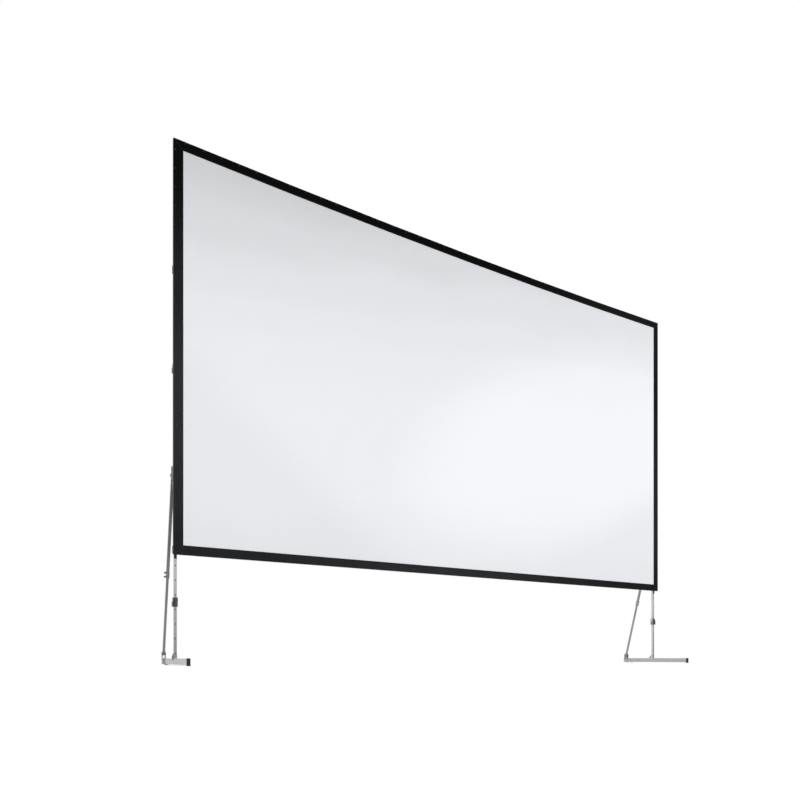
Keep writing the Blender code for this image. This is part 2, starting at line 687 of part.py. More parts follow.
def screw_heights():
    """Places of the brace's two thumb screws, measured from the brace's upper pivot."""
    lowest = SCREW_FROM_END - BRACE_TUBE_LENGTH
    return (lowest, lowest + SCREW_PITCH)


def square_bar(half, high, low):
    """A square bar round the Z axis."""
    return block((-half, half), (-half, half), (low, high))


def brace_tube(outward):
    """The upper, hollow tube of the brace, hanging from its pivot at the origin."""
    half = BRACE_TUBE / 2
    end = -BRACE_TUBE_LENGTH
    tube = soften(square_bar(half, BRACE_TUBE_HEAD, end + LEG_EDGE), LEG_EDGE, 1)
    fuse(tube, soften(square_bar(half + COLLAR_WALL, end + COLLAR_LENGTH, end), LEG_EDGE, 1))
    cut(tube, square_bar(half - BRACE_WALL, -BRACE_PLUG, 2 * end))
    holes = [((0, 0, z), (outward * BRACE_TUBE, 0, z)) for z in screw_heights()]
    cut(tube, cylinders(SCREW_RADIUS + RUN_GAP, holes, 12))
    return cut(tube, cylinder(BRACE_PIN_RADIUS + RUN_GAP, (-BRACE_TUBE, 0, 0), (BRACE_TUBE, 0, 0)))


def brace_rod():
    """The lower, sliding tube of the brace with its eye, seen from the brace's upper pivot."""
    half = EYE_WIDTH / 2
    rod = soften(square_bar(BRACE_ROD / 2, -BRACE_ROD_TOP, -BRACE_LENGTH), LEG_EDGE, 1)
    fuse(rod, cylinder(EYE_RADIUS, (-half, 0, -BRACE_LENGTH), (half, 0, -BRACE_LENGTH)))
    return cut(rod, cylinder(EYE_BORE, (-BRACE_ROD, 0, -BRACE_LENGTH), (BRACE_ROD, 0, -BRACE_LENGTH), 12))


def thumb_screw(outward):
    """A thumb screw along X, with its origin on the middle line of the rod it presses."""
    start = BRACE_ROD / 2 + GAP
    head = BRACE_TUBE / 2 + COLLAR_WALL + SCREW_STANDOFF
    screw = cylinder(SCREW_RADIUS, (outward * start, 0, 0), (outward * (head + SCREW_STANDOFF), 0, 0), 12)
    grip_end = outward * (head + SCREW_HEAD_LENGTH)
    grip = cylinder(SCREW_HEAD_RADIUS, (outward * head, 0, 0), (grip_end, 0, 0), 12)
    return fuse(screw, soften(grip, SCREW_RADIUS / 4, 1))


def frame_clamp(seat, has_tongue):
    """A clamp round the leg, with a flange against the rail and its origin in the leg.

    seat is the distance from the rail's rear face to the flange.
    """
    hole = LEG_HALF + GAP
    wall = hole + CLAMP_WALL
    tall = CLAMP_HEIGHT / 2
    face = seat - LEG_HALF - FRAME_TO_LEG
    clamp = soften(block((-wall, wall), (-wall, wall), (-tall, tall)), LEG_EDGE, 1)
    flange_y = (face, face + FLANGE_THICK)
    flange = block((-FLANGE_WIDTH / 2, FLANGE_WIDTH / 2), flange_y, (-tall, tall))
    web = block((-hole, hole), (face + FLANGE_THICK / 2, CLAMP_WALL / 2 - wall), (-tall * 0.8, tall * 0.8))
    fuse(clamp, flange, web)
    if has_tongue:
        bottom = FRAME_BOTTOM - TONGUE_DROP - CLAMP_BOTTOM_Z
        tongue_y = (LEG_EDGE - wall, -hole)
        fuse(clamp, block((-TONGUE_WIDTH / 2, TONGUE_WIDTH / 2), tongue_y, (bottom, 0)))
    cut(clamp, block((-hole, hole), (-hole, hole), (-2 * tall, 2 * tall)))
    return cut(clamp, cylinder(KNOB_SCREW_RADIUS + RUN_GAP, (0, 0, 0), (0, 2 * wall, 0), 12))


def star_knob():
    """A star knob with its screw along Y, starting at the leg's rear face at the origin."""
    steps = KNOB_LOBES * 6
    outline = []
    for i in range(steps):
        turn = 2 * math.pi * i / steps
        radius = KNOB_RADIUS - KNOB_LOBE_DEPTH * (1 - math.cos(KNOB_LOBES * turn))
        outline.append((radius * math.cos(turn), radius * math.sin(turn)))
    start = GAP + CLAMP_WALL + KNOB_STANDOFF
    head = sheet(outline, start, KNOB_THICK)
    return fuse(head, cylinder(KNOB_SCREW_RADIUS, (0, GAP, 0), (0, start + KNOB_THICK / 2, 0), 12))


def build_leg(assembly, name, outward):
    """One leg with its levers."""
    x = outward * LEG_X
    body = assembly.axis(f"{name}_leg_slide", (x, LEG_Y, 0))
    stub_low = FOOT_TOP + LEG_FOOT_GAP
    split = KNUCKLES[0] - stub_low
    stub_holes = [split - HOLE_FROM_KNUCKLE - i * HOLE_PITCH for i in range(STUB_HOLES)]
    stub = leg_section(0, split - KNUCKLE_SPLIT / 2, stub_holes, outward, False, True)
    lug = base_lug()
    lug.data.transform(Matrix.Translation((0, 0, -stub_low)))
    fuse(stub, lug)
    assembly.piece(f"{name}_leg_base", place(stub, (x, LEG_Y, stub_low)), assembly.aluminium, body)

    for i, (low, high) in enumerate(zip(KNUCKLES, KNUCKLES[1:] + [LEG_TOP])):
        is_last = i == KNUCKLE_COUNT - 1
        end = high - low if is_last else high - low - KNUCKLE_SPLIT / 2
        section = leg_section(KNUCKLE_SPLIT / 2, end, section_holes(end), outward, True, not is_last)
        place(section, (x, LEG_Y, low))
        assembly.piece(f"{name}_leg_tube_{i + 1}", section, assembly.aluminium, body)
        pivot = (x + outward * LEVER_PIVOT_OUT, LEG_Y, low + LEVER_PIVOT_UP)
        lever = place(latch_lever(outward), pivot)
        assembly.piece(f"{name}_latch_lever_{i + 1}", lever, assembly.black_metal, body)
    return body


def build_foot_and_brace(assembly, name, outward, body):
    """The folding foot of one leg, and the brace that folds with it."""
    at_leg = Vector((outward * LEG_X, LEG_Y, 0))
    foot = assembly.axis(f"{name}_foot_hinge", at_leg + FOOT_PIVOT, body)
    assembly.piece(f"{name}_foot_tube", place(foot_tube(outward), at_leg), assembly.foot_metal, foot)
    assembly.piece(f"{name}_foot_cap", place(foot_cap(), at_leg), assembly.black_plastic, foot)
    assembly.piece(f"{name}_hinge_bracket", place(hinge_bracket(), at_leg), assembly.aluminium, foot)

    top = at_leg + BRACE_TOP + Vector((outward * BRACE_OUT, 0, 0))
    assembly.piece(f"{name}_brace_bracket", place(brace_bracket(outward), top), assembly.brace_metal, body)
    swing = assembly.axis(f"{name}_brace_swing", top, body, BRACE_LEAN)
    tube = place(brace_tube(outward), top, BRACE_LEAN)
    assembly.piece(f"{name}_brace_tube", tube, assembly.brace_metal, swing)
    slide = assembly.axis(f"{name}_brace_slide", top, swing, BRACE_LEAN)
    assembly.piece(f"{name}_brace_rod", place(brace_rod(), top, BRACE_LEAN), assembly.brace_metal, slide)
    for i, z in enumerate(screw_heights()):
        spot = top + Vector((0, -z * math.sin(BRACE_LEAN), z * math.cos(BRACE_LEAN)))
        screw = place(thumb_screw(outward), spot, BRACE_LEAN)
        assembly.piece(f"{name}_brace_screw_{i + 1}", screw, assembly.black_metal, swing)


def build_clamps(assembly, name, outward):
    """The two clamps that fix the frame to one leg, with their knobs."""
    x = outward * LEG_X
    clamps = (("bottom", CLAMP_BOTTOM_Z, 2 * GAP + PLATE_THICK, True), ("top", CLAMP_TOP_Z, GAP, False))
    for spot, z, seat, has_tongue in clamps:
        clamp = place(frame_clamp(seat, has_tongue), (x, LEG_Y, z))
        assembly.piece(f"{name}_{spot}_clamp", clamp, assembly.black_metal)
        knob = place(star_knob(), (x, LEG_Y + LEG_HALF, z))
        assembly.piece(f"{name}_{spot}_knob", knob, assembly.black_plastic)


def main():
    """Build the whole screen."""
    clear_scene()
    assembly = Assembly()
    build_frame(assembly)
    build_cloth(assembly)
    for name, outward in (("left", -1), ("right", 1)):
        body = build_leg(assembly, name, outward)
        build_foot_and_brace(assembly, name, outward, body)
        build_clamps(assembly, name, outward)


main()
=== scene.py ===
"""Dress the folding-frame projection screen for rendering.

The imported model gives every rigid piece. This script adds the tensioned cloth with its sewn
border and press studs, gives each finish its own procedural material, and sets the studio
and the camera. Lengths are in metres, +Z is up and the picture faces -Y.
"""

from __future__ import annotations

import json
import logging
import math
from dataclasses import dataclass
from enum import Enum
from typing import NamedTuple, Sequence

import bmesh
import bpy
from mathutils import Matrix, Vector

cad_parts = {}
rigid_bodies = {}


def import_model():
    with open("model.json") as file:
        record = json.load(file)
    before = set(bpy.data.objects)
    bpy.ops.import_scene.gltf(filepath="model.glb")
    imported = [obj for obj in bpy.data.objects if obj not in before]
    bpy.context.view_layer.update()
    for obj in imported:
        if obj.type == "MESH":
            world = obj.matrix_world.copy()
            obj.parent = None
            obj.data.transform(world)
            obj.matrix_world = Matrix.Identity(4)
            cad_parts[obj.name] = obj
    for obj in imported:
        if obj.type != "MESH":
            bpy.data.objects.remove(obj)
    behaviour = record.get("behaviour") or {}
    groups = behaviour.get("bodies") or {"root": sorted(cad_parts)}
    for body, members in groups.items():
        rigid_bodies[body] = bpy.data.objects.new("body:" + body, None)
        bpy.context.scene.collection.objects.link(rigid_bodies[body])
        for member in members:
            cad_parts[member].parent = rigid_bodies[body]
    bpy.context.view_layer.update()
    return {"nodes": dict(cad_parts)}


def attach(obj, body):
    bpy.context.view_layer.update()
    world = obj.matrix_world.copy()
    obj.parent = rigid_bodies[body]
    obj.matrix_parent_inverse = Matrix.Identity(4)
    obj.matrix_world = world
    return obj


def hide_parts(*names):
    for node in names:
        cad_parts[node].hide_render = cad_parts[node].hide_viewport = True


LOG = logging.getLogger("projection_screen")
FRAME_BODY = "screen_frame"

Point = tuple[float, float]
Place = tuple[float, float, float]
Colour = tuple[float, float, float]
Socket = bpy.types.NodeSocket
Ring = list[bmesh.types.BMVert]

WHITE = (1.0, 1.0, 1.0, 1.0)
SOFT_EDGE = 0.001
NOISE_MIDDLE = 0.5
CLOTH_CREASE = math.radians(40)
METAL_CREASE = math.radians(35)

# A mix node's colour sockets come after those for numbers and vectors.
MIX_INPUTS = (6, 7)
MIX_OUTPUT = 2


class Ramp(NamedTuple):
    """An eased change: where it starts and ends, and the results before and after it."""

    start: float
    end: float
    before: float = 0.0
    after: float = 1.0

    def raised(self, amount: float) -> Ramp:
        """The same change with both results raised by an amount."""
        return self._replace(before=self.before + amount, after=self.after + amount)


class Clouds(NamedTuple):
    """A cloudy noise: how fine it is, its number of finer layers, and its stretch along each axis."""

    scale: float
    detail: float
    stretch: Place = (1.0, 1.0, 1.0)


TURNED_TO_FRONT = Ramp(-0.9, -0.2, 1.0, 0.0)
TURNED_TO_BACK = Ramp(-0.2, 0.2)


class Grain(Enum):
    """The direction in which a metal's fine lines run."""

    ALONG_Y = (60.0, 1.0, 60.0)
    ALONG_Z = (60.0, 60.0, 1.0)


class NodeTree:
    """Short calls for building any tree of shader nodes."""

    def __init__(self, tree: bpy.types.NodeTree) -> None:
        """Work on the tree given."""
        self.tree = tree

    def node(self, kind: str) -> bpy.types.Node:
        """Add a node of the kind that Blender's own name gives."""
        return self.tree.nodes.new(kind)

    def feed(self, target: Socket, value: Socket | float) -> None:
        """Link a socket to the target, or set the target to a number.

        Args:
            target: The input to fill.
            value: An output socket or a number.
        """
        if isinstance(value, (int, float)):
            target.default_value = value
        else:
            self.tree.links.new(value, target)

    def split(self, vector: Socket) -> tuple[Socket, Socket, Socket]:
        """Take a vector apart.

        Args:
            vector: The vector.

        Returns:
            Its X, Y and Z.
        """
        step = self.node("ShaderNodeSeparateXYZ")
        self.feed(step.inputs[0], vector)
        return step.outputs[0], step.outputs[1], step.outputs[2]

    def reckon(self, operation: str, first: Socket | float, second: Socket | float = 0.0) -> Socket:
        """Add one arithmetic step.

        Args:
            operation: Blender's name for the step, such as DIVIDE.
            first: The first value.
            second: The second value.

        Returns:
            The result.
        """
        step = self.node("ShaderNodeMath")
        step.operation = operation
        self.feed(step.inputs[0], first)
        self.feed(step.inputs[1], second)
        return step.outputs[0]

    def gather(self, operation: str, values: Sequence[Socket | float]) -> Socket | float:
        """Join several values by repeating one arithmetic step.

        Args:
            operation: Blender's name for the step.
            values: The values to join.

        Returns:
            The result.
        """
        total = values[0]
        for value in values[1:]:
            total = self.reckon(operation, total, value)
        return total

    def plus(self, *values: Socket | float) -> Socket | float:
        """Add the values together."""
        return self.gather("ADD", values)

    def times(self, *values: Socket | float) -> Socket | float:
        """Multiply the values together."""
        return self.gather("MULTIPLY", values)

    def most(self, *values: Socket | float) -> Socket | float:
        """The largest of the values."""
        return self.gather("MAXIMUM", values)

    def minus(self, first: Socket | float, second: Socket | float) -> Socket:
        """The first value less the second."""
        return self.reckon("SUBTRACT", first, second)

    def unsigned(self, value: Socket) -> Socket:
        """A value without its sign."""
        return self.reckon("ABSOLUTE", value)

    def apart(self, value: Socket, middle: Socket | float) -> Socket:
        """How far a value lies from a middle, either way."""
        return self.unsigned(self.minus(value, middle))

    def ease(self, value: Socket, ramp: Ramp) -> Socket:
        """Let a value drive an eased change.

        Args:
            value: The value to follow.
            ramp: The change.

        Returns:
            The eased value.
        """
        step = self.node("ShaderNodeMapRange")
        step.interpolation_type = "SMOOTHSTEP"
        self.feed(step.inputs["Value"], value)
        for name, number in zip(("From Min", "From Max", "To Min", "To Max"), ramp):
            step.inputs[name].default_value = number
        return step.outputs["Result"]

    def below(self, value: Socket, limit: float, soft: float = SOFT_EDGE) -> Socket:
        """One under a limit and zero over it, with a soft edge under the limit."""
        return self.ease(value, Ramp(limit - soft, limit, 1.0, 0.0))

    def above(self, value: Socket, limit: float, soft: float = SOFT_EDGE) -> Socket:
        """Zero under a limit and one over it, with a soft edge under the limit."""
        return self.ease(value, Ramp(limit - soft, limit))


class NodeGraph(NodeTree):
    """Short calls for building one material."""

    def __init__(self, name: str) -> None:
        """Start a material with a Principled BSDF.

        Args:
            name: The material's name.
        """
        self.material = bpy.data.materials.new(name)
        self.material.use_nodes = True
        super().__init__(self.material.node_tree)
        self.shader = self.tree.nodes["Principled BSDF"]

    def place(self) -> Socket:
        """The point's place on the object, in the model's own frame."""
        return self.node("ShaderNodeTexCoord").outputs["Object"]

    def axes(self) -> tuple[Socket, Socket, Socket]:
        """The point's X, Y and Z in the model's own frame."""
        return self.split(self.place())

    def turned(self, ramp: Ramp) -> Socket:
        """How far the surface is turned to the front, where Y is least, or to the back."""
        facing = self.split(self.node("ShaderNodeTexCoord").outputs["Normal"])
        return self.ease(facing[1], ramp)

    def shade(self, colour: Socket, amount: Socket | float) -> Socket:
        """Multiply a colour by an amount.

        Args:
            colour: The colour.
            amount: The amount.

        Returns:
            The darker or lighter colour.
        """
        step = self.node("ShaderNodeVectorMath")
        step.operation = "SCALE"
        self.feed(step.inputs[0], colour)
        self.feed(step.inputs["Scale"], amount)
        return step.outputs[0]

    def noise(self, clouds: Clouds) -> Socket:
        """Add cloudy noise over the model's own frame.

        Args:
            clouds: The noise wanted.

        Returns:
            The noise, from 0 to 1.
        """
        mapping = self.node("ShaderNodeMapping")
        mapping.inputs["Scale"].default_value = clouds.stretch
        self.feed(mapping.inputs["Vector"], self.place())
        texture = self.node("ShaderNodeTexNoise")
        texture.inputs["Scale"].default_value = clouds.scale
        texture.inputs["Detail"].default_value = clouds.detail
        self.feed(texture.inputs["Vector"], mapping.outputs[0])
        return texture.outputs[0]

    def mix(self, share: Socket | float, low: Socket | Colour, high: Socket | Colour) -> Socket:
        """Blend two colours.

        Args:
            share: How much of the second colour shows.
            low: The first colour.
            high: The second colour.

        Returns:
            The blended colour.
        """
        step = self.node("ShaderNodeMix")
        step.data_type = "RGBA"
        self.feed(step.inputs["Factor"], share)
        for index, colour in zip(MIX_INPUTS, (low, high)):
            if isinstance(colour, tuple):
                step.inputs[index].default_value = (*colour, 1.0)
            else:
                self.feed(step.inputs[index], colour)
        return step.outputs[MIX_OUTPUT]

    def bump(self, height: Socket, distance: float, strength: float) -> None:
        """Let a height drive the surface's small relief.

        Args:
            height: The height, from 0 to 1.
            distance: The relief's depth in metres.
            strength: How strongly it shades.
        """
        step = self.node("ShaderNodeBump")
        step.inputs["Distance"].default_value = distance
        step.inputs["Strength"].default_value = strength
        self.feed(step.inputs["Height"], height)
        self.feed(self.shader.inputs["Normal"], step.outputs[0])

    def set(self, **values: float | tuple[float, ...]) -> None:
        """Set sockets of the shader that are the same all over the surface.

        Args:
            values: Each socket's name in small letters with underscores, and its value.
        """
        names = {name.lower().replace(" ", "_"): name for name in self.shader.inputs.keys()}
        for name, value in values.items():
            self.shader.inputs[names[name]].default_value = value


@dataclass(frozen=True)
class MetalFinish:
    """A metal with fine drawn lines, soft stains and an uneven polish."""

    name: str
    colour: Colour
    stain: Colour
    roughness: float
    metallic: float
    grain: Grain
    specular: float = 0.5
    line_scale: float = 9.0
    line_detail: float = 3.0
    stain_clouds: Clouds = Clouds(3.5, 4.0)
    stain_share: Ramp = Ramp(0.35, 0.75)
    line_share: Ramp = Ramp(0.3, 0.8, 0.0, 0.25)
    polish: Ramp = Ramp(0.2, 0.8, -0.06, 0.08)
    relief: float = 0.0002
    relief_strength: float = 0.35

    def graph(self) -> tuple[NodeGraph, Socket]:
        """Build the finish up to its colour.

        Returns:
            The node graph and the colour's socket.
        """
        graph = NodeGraph(self.name)
        lines = graph.noise(Clouds(self.line_scale, self.line_detail, self.grain.value))
        stains = graph.noise(self.stain_clouds)
        colour = graph.mix(graph.ease(stains, self.stain_share), self.colour, self.stain)
        colour = graph.mix(graph.ease(lines, self.line_share), colour, self.stain)
        rough = graph.ease(lines, self.polish.raised(self.roughness))
        graph.feed(graph.shader.inputs["Roughness"], rough)
        graph.set(metallic=self.metallic, specular_ior_level=self.specular)
        graph.bump(lines, self.relief, self.relief_strength)
        return graph, colour

    def tone(self, graph: NodeGraph, colour: Socket) -> Socket:
        """Leave the metal's own colour all over the piece."""
        return colour

    def material(self) -> bpy.types.Material:
        """Build the finished material.

        Returns:
            The material.
        """
        graph, colour = self.graph()
        graph.feed(graph.shader.inputs["Base Color"], self.tone(graph, colour))
        return graph.material


@dataclass(frozen=True)
class LegFinish(MetalFinish):
    """The legs' drawn aluminium, with painted shade on the front faces, deeper towards the floor and on the
    right leg, and castings where the knuckles are.
    """

    leg_x: float = 3.729
    leg_y: float = 0.035
    inside: float = 0.0145
    knuckles: tuple[float, ...] = (0.663, 1.888, 3.113)
    knuckle_reach: float = 0.051
    lit_face_from: float = 0.0253
    lit_face_edge: float = 0.0004
    first_hole: float = 0.0765
    hole_pitch: float = 0.1533
    hole_shade_radius: float = 0.0072
    hole_shade_edge: float = 0.0012
    # Painted shade on the legs' front faces, by height, and darker on the right leg.
    front_painted_shade: Ramp = Ramp(0.15, 1.15, 0.50, 0.84)
    right_painted_shading: Ramp = Ramp(-1.0, 1.0, 1.0, 0.88)
    patch_clouds: Clouds = Clouds(42.0, 4.0)
    patch_share: Ramp = Ramp(0.40, 0.85, 0.0, 0.4)
    # The castings' front faces take a darker painted-shade colour; a pale colour serves random patches and a
    # painted highlight on the inward face.
    casting: Colour = (0.125, 0.152, 0.162)
    casting_front_shade: Colour = (0.062, 0.070, 0.075)
    pale_patches_and_lit_face: Colour = (0.500, 0.520, 0.530)
    # Near-black painted shade inside the tube and round its holes.
    bore_shade: Colour = (0.012, 0.012, 0.013)

    def tone(self, graph: NodeGraph, colour: Socket) -> Socket:
        """Paint shade on the front faces, deeper low down and on the right leg; set apart the castings, with
        a painted highlight on their inward face; and paint shade into the bored holes and round them.

        Args:
            graph: The material's node graph.
            colour: The metal's own colour.

        Returns:
            The colour to show.
        """
        x, y, height = graph.axes()
        side = graph.unsigned(x)
        in_front = graph.turned(TURNED_TO_FRONT)
        # Painted shade: front faces drawn darker, more so towards the floor and on the right leg.
        shaded_front = graph.shade(colour, graph.ease(height, self.front_painted_shade))
        shaded_front = graph.shade(shaded_front, graph.ease(x, self.right_painted_shading))
        colour = graph.mix(in_front, colour, shaded_front)
        above_or_below = [graph.apart(height, knuckle) for knuckle in self.knuckles]
        castings = [graph.below(distance, self.knuckle_reach) for distance in above_or_below]
        colour = graph.mix(graph.most(*castings), colour, self.cast(graph, side, in_front))
        across = graph.apart(side, self.leg_x)
        deep = graph.most(across, graph.apart(y, self.leg_y))
        # Painted shade: the inside of the tube and a ring round each hole are drawn near black.
        colour = graph.mix(graph.below(deep, self.inside), colour, self.bore_shade)
        return graph.mix(self.shaded_hole_rims(graph, across, y, height), colour, self.bore_shade)

    def cast(self, graph: NodeGraph, side: Socket, in_front: Socket) -> Socket:
        """The patchy cast metal of the knuckles, with painted shade on the front faces and a painted
        highlight over the inward face.

        Args:
            graph: The material's node graph.
            side: The distance from the screen's middle, either way.
            in_front: One where the surface is turned to the front.

        Returns:
            The castings' colour.
        """
        patches = graph.ease(graph.noise(self.patch_clouds), self.patch_share)
        cast = graph.mix(patches, self.casting, self.pale_patches_and_lit_face)
        # Painted shade: the casting's front faces take the darker front colour.
        cast = graph.mix(in_front, cast, self.casting_front_shade)
        inward = graph.minus(self.leg_x, side)
        # Painted highlight: the inward face of each casting drawn pale as if lit.
        return graph.mix(graph.above(inward, self.lit_face_from, self.lit_face_edge), cast, self.pale_patches_and_lit_face)

    def shaded_hole_rims(self, graph: NodeGraph, across: Socket, y: Socket, height: Socket) -> Socket:
        """Painted shade in a ring round each adjustment hole in the front face.

        Args:
            graph: The material's node graph.
            across: The distance from the leg's middle, either way.
            y: The distance back.
            height: The height.

        Returns:
            One on a rim and zero elsewhere.
        """
        pitch = self.knuckles[1] - self.knuckles[0]
        above = graph.reckon("FLOORED_MODULO", graph.minus(height, self.knuckles[0]), pitch)
        from_hole = graph.reckon("PINGPONG", graph.minus(above, self.first_hole), self.hole_pitch / 2)
        squares = graph.plus(graph.times(from_hole, from_hole), graph.times(across, across))
        near = graph.below(graph.reckon("SQRT", squares), self.hole_shade_radius, self.hole_shade_edge)
        return graph.times(near, graph.below(y, self.leg_y - self.inside))


@dataclass(frozen=True)
class FootFinish(MetalFinish):
    """The foot's extrusion with painted highlights along its long edges, and the cast elbow at its rear end,
    with painted shade on its front faces.
    """

    middle: float = 0.042
    # Painted highlight along the long top and bottom edges.
    edge_highlight: Ramp = Ramp(0.0262, 0.0305, 1.0, 1.22)
    casting_from: float = 0.525
    patch_clouds: Clouds = Clouds(24.0, 3.0)
    patch_share: Ramp = Ramp(0.30, 0.80, 0.0, 0.5)
    # The elbow is drawn paler in random patches and towards the floor.
    low_share: Ramp = Ramp(0.030, 0.085, 0.9, 0.0)
    casting: Colour = (0.200, 0.215, 0.220)
    casting_front_shade: Colour = (0.075, 0.082, 0.085)
    pale_cast: Colour = (0.400, 0.405, 0.405)

    def tone(self, graph: NodeGraph, colour: Socket) -> Socket:
        """Paint highlights along the long edges and give the elbow its cast colour, darker on its front
        faces as painted shade.

        Args:
            graph: The material's node graph.
            colour: The metal's own colour.

        Returns:
            The colour to show.
        """
        _, y, height = graph.axes()
        # Painted highlight along the top and bottom edges.
        colour = graph.shade(colour, graph.ease(graph.apart(height, self.middle), self.edge_highlight))
        # Painted shade on the elbow's front faces.
        cast = graph.mix(graph.turned(TURNED_TO_FRONT), self.casting, self.casting_front_shade)
        patches = graph.ease(graph.noise(self.patch_clouds), self.patch_share)
        low_down = graph.ease(height, self.low_share)
        cast = graph.mix(graph.most(patches, low_down), cast, self.pale_cast)
        return graph.mix(graph.above(y, self.casting_from), colour, cast)


@dataclass(frozen=True)
class BraceFinish(MetalFinish):
    """The braces' grey aluminium, a little lighter towards the floor, with painted light making the right
    brace lighter than the left.
    """

    height_tone: Ramp = Ramp(0.2, 2.0, 1.35, 1.0)
    right_painted_shading: Ramp = Ramp(-1.0, 1.0, 1.0, 1.45)

    def tone(self, graph: NodeGraph, colour: Socket) -> Socket:
        """Lighten the metal towards the floor, and paint light on the right brace.

        Args:
            graph: The material's node graph.
            colour: The metal's own colour.

        Returns:
            The colour to show.
        """
        x, _, height = graph.axes()
        colour = graph.shade(colour, graph.ease(height, self.height_tone))
        # Painted light: the right brace drawn lighter than the left one.
        return graph.shade(colour, graph.ease(x, self.right_painted_shading))


@dataclass(frozen=True)
class BoltedFinish(MetalFinish):
    """A grey plate carried on a dark bolt, with the side that faces inward painted paler as if lit."""

    middle_x: float = 3.744
    bolt_place: Point = (0.081, 2.000)
    bolt_radius: float = 0.0096
    bolt_from: float = 0.0208
    bolt_edge: float = 0.0003
    lit_face_share: Ramp = Ramp(-0.004, 0.004)
    bolt: Colour = (0.030, 0.031, 0.033)
    # The paler colour painted over the inward face, as its lit side.
    inward: Colour = (0.48, 0.53, 0.56)

    def tone(self, graph: NodeGraph, colour: Socket) -> Socket:
        """Give the bolt's heads their dark colour and paint the inward face paler as if lit.

        Args:
            graph: The material's node graph.
            colour: The plate's own colour.

        Returns:
            The colour to show.
        """
        x, y, height = graph.axes()
        within = graph.minus(self.middle_x, graph.unsigned(x))
        # Painted highlight: the inward face takes the paler inward colour.
        colour = graph.mix(graph.ease(within, self.lit_face_share), colour, self.inward)
        outside = graph.above(graph.unsigned(within), self.bolt_from, self.bolt_edge)
        off = graph.most(graph.apart(y, self.bolt_place[0]), graph.apart(height, self.bolt_place[1]))
        near = graph.below(off, self.bolt_radius, self.bolt_edge)
        return graph.mix(graph.times(outside, near), colour, self.bolt)


@dataclass(frozen=True)
class CoatedFinish:
    """A powder coat, moulded plastic or waxed thread: pebbled, with worn, paler patches."""

    name: str
    colour: Colour
    worn: Colour
    roughness: float
    pebble_scale: float = 900.0
    pebble_depth: float = 0.0003
    specular: float = 0.3
    pebble_detail: float = 2.0
    pebble_strength: float = 0.4
    wear_clouds: Clouds = Clouds(14.0, 6.0)
    wear_share: Ramp = Ramp(0.55, 0.72)
    polish: Ramp = Ramp(0.3, 0.8, 0.05, -0.1)

    def material(self) -> bpy.types.Material:
        """Build the material.

        Returns:
            The material.
        """
        graph = NodeGraph(self.name)
        pebbles = graph.noise(Clouds(self.pebble_scale, self.pebble_detail))
        wear = graph.noise(self.wear_clouds)
        colour = graph.mix(graph.ease(wear, self.wear_share), self.colour, self.worn)
        graph.feed(graph.shader.inputs["Base Color"], colour)
        graph.feed(graph.shader.inputs["Roughness"], graph.ease(wear, self.polish.raised(self.roughness)))
        graph.set(specular_ior_level=self.specular)
        graph.bump(pebbles, self.pebble_depth, self.pebble_strength)
        return graph.material


